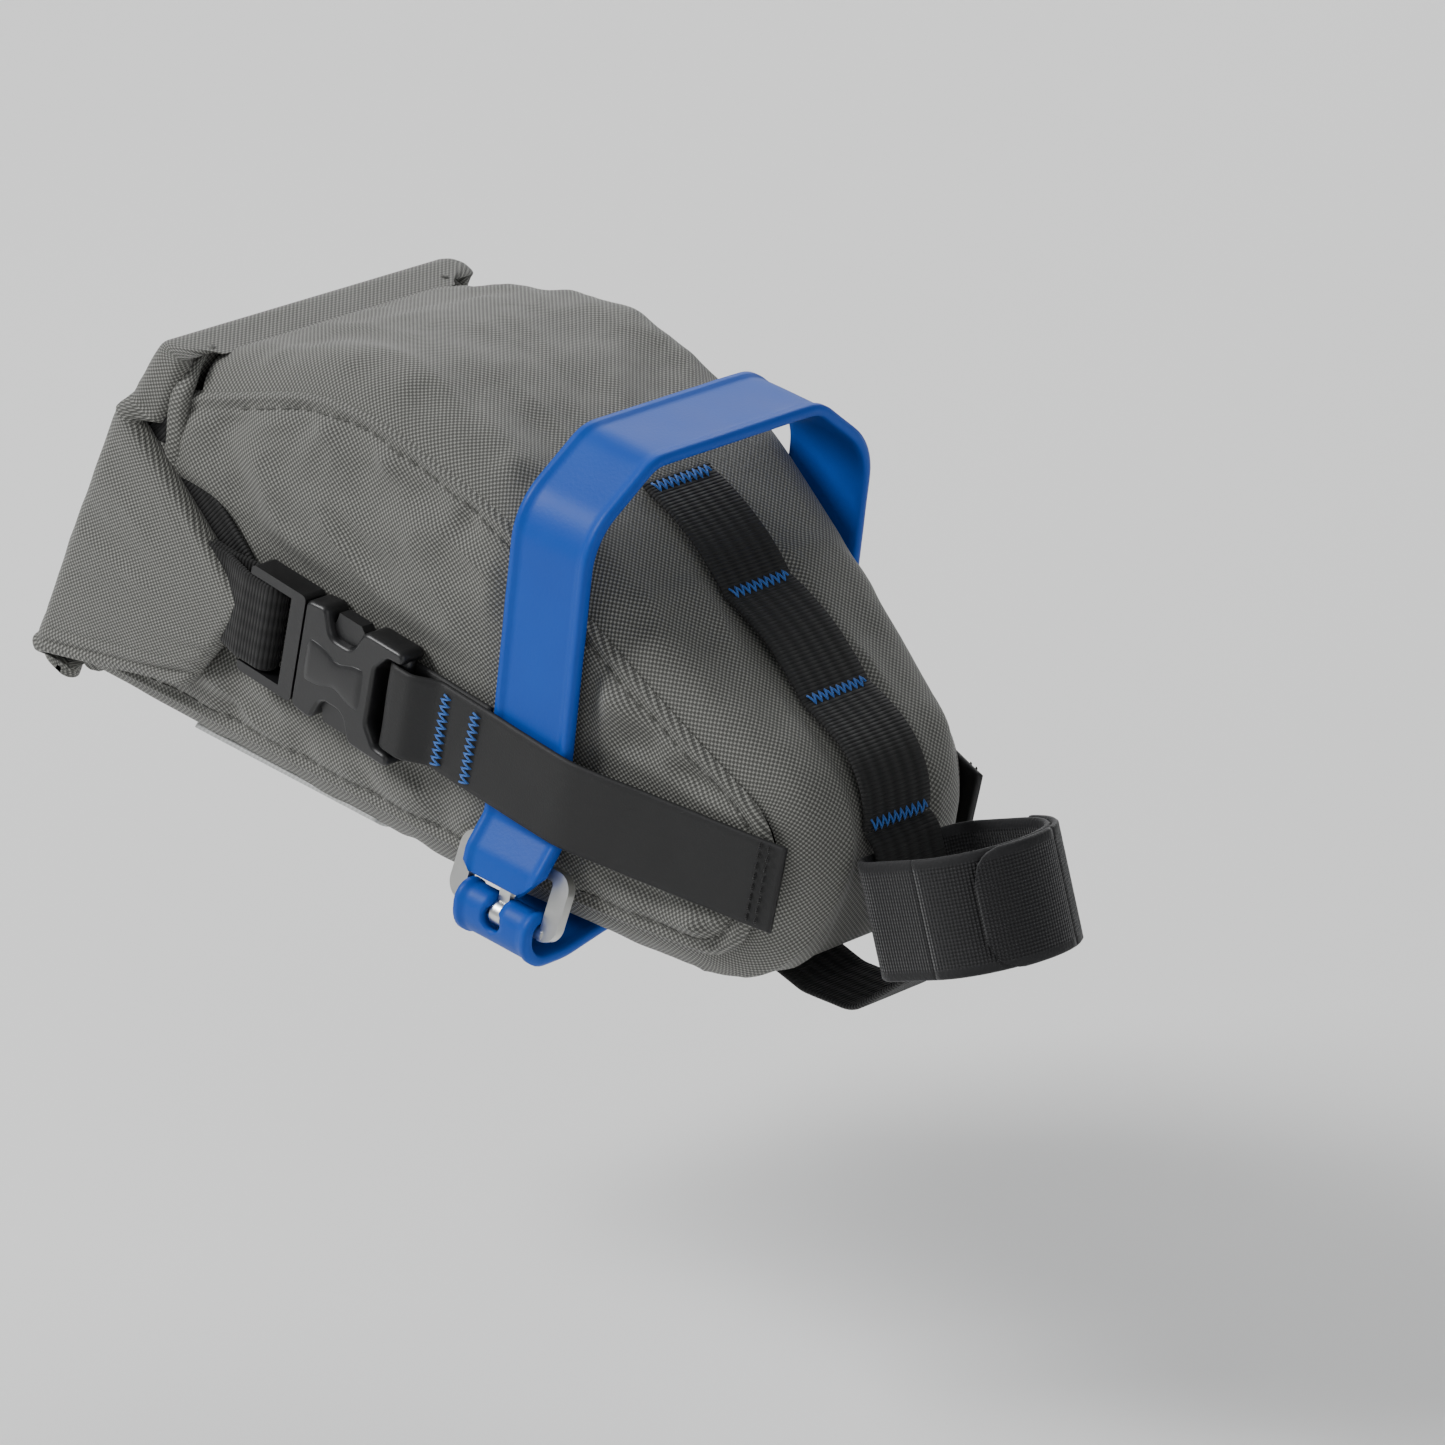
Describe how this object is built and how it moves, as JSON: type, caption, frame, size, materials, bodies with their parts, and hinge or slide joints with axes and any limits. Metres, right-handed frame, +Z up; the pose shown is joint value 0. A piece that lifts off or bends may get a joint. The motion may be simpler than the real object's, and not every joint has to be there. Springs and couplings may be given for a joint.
{
  "type": "saddle bag",
  "caption": "Roll-top bicycle saddle bag with side-release closures, a rail strap with a metal buckle and a hook-and-loop seatpost strap.",
  "frame": {"origin": "on the seatpost's axis, at the middle of the seatpost strap", "axes": "+X to the front of the bicycle, +Y to its left, +Z up"},
  "size_m": [0.2546, 0.0979, 0.1206],
  "materials": {
    "shell_fabric": "coated woven nylon, matt",
    "reflective_tape": "retroreflective tape",
    "black_webbing": "ribbed webbing",
    "black_laminate": "matt rubberised laminate",
    "buckle_plastic": "satin acetal",
    "blue_thread": "bar-tack thread",
    "stiffener_plastic": "plain sheet",
    "blue_strap": "matt moulded polyurethane",
    "buckle_metal": "satin",
    "hook_and_loop": "hook-and-loop tape"
  },
  "bodies": {
    "bag": {"side_panel_right": "shell_fabric", "ear_right": "shell_fabric", "tuck_fold_right": "shell_fabric", "reflective_strip_right": "reflective_tape", "webbing_right": "black_webbing", "buckle_ladder_right": "buckle_plastic", "wing_strap_right": "black_laminate", "wing_bar_tacks_right": "blue_thread", "side_panel_left": "shell_fabric", "ear_left": "shell_fabric", "tuck_fold_left": "shell_fabric", "reflective_strip_left": "reflective_tape", "webbing_left": "black_webbing", "buckle_ladder_left": "buckle_plastic", "wing_strap_left": "black_laminate", "wing_bar_tacks_left": "blue_thread", "rear_panel": "shell_fabric", "top_gusset": "shell_fabric", "front_gusset": "shell_fabric", "floor_gusset": "shell_fabric", "roll_band": "shell_fabric", "base_stiffener": "stiffener_plastic", "roll_stiffener": "stiffener_plastic", "rail_strap": "blue_strap", "rail_strap_tail": "blue_strap", "strap_buckle_frame": "buckle_metal", "post_strap": "hook_and_loop", "post_strap_overlap": "hook_and_loop", "daisy_strip": "black_laminate", "daisy_bar_tacks": "blue_thread", "base_loop": "black_laminate"},
    "socket_right": {"buckle_socket_right": "buckle_plastic"},
    "arm_upper_right": {"latch_arm_upper_right": "buckle_plastic"},
    "arm_lower_right": {"latch_arm_lower_right": "buckle_plastic"},
    "socket_left": {"buckle_socket_left": "buckle_plastic"},
    "arm_upper_left": {"latch_arm_upper_left": "buckle_plastic"},
    "arm_lower_left": {"latch_arm_lower_left": "buckle_plastic"},
    "prong": {"strap_buckle_prong": "buckle_metal"},
    "post_tail": {"post_strap_tail": "hook_and_loop"}
  },
  "joints": [
    {"name": "right_socket_release", "type": "slide", "parent": "bag", "child": "socket_right", "axis": [0.9744, 0, -0.225], "range_m": [0, 0.02], "deforming": ["wing_strap_right", "wing_bar_tacks_right", "latch_arm_upper_right", "latch_arm_lower_right"]},
    {"name": "right_latch_upper", "type": "hinge", "parent": "bag", "child": "arm_upper_right", "pos_m": [-0.14506, -0.045, 0.03795], "axis": [0, 1, 0], "range_deg": [0, 7], "stiffness_Nm_per_rad": 0.05},
    {"name": "right_latch_lower", "type": "hinge", "parent": "bag", "child": "arm_lower_right", "pos_m": [-0.14879, -0.045, 0.02178], "axis": [0, 1, 0], "range_deg": [-7, 0], "stiffness_Nm_per_rad": 0.05},
    {"name": "left_socket_release", "type": "slide", "parent": "bag", "child": "socket_left", "axis": [0.9744, 0, -0.225], "range_m": [0, 0.02], "deforming": ["wing_strap_left", "wing_bar_tacks_left", "latch_arm_upper_left", "latch_arm_lower_left"]},
    {"name": "left_latch_upper", "type": "hinge", "parent": "bag", "child": "arm_upper_left", "pos_m": [-0.14506, 0.045, 0.03795], "axis": [0, 1, 0], "range_deg": [0, 7], "stiffness_Nm_per_rad": 0.05},
    {"name": "left_latch_lower", "type": "hinge", "parent": "bag", "child": "arm_lower_left", "pos_m": [-0.14879, 0.045, 0.02178], "axis": [0, 1, 0], "range_deg": [-7, 0], "stiffness_Nm_per_rad": 0.05},
    {"name": "strap_prong", "type": "hinge", "parent": "bag", "child": "prong", "pos_m": [-0.09055, -0.0453, -0.01451], "axis": [0.9903, 0, -0.1392], "range_deg": [0, 80], "deforming": ["rail_strap_tail"]},
    {"name": "post_tail_peel", "type": "hinge", "parent": "bag", "child": "post_tail", "pos_m": [0.01698, 0.00646, 0.00519], "axis": [-0.2924, 0, 0.9563], "range_deg": [0, 100]}
  ],
  "couplings": [
    {"joint": "right_latch_lower", "follows": "right_latch_upper", "ratio": -1},
    {"joint": "left_latch_lower", "follows": "left_latch_upper", "ratio": -1}
  ]
}
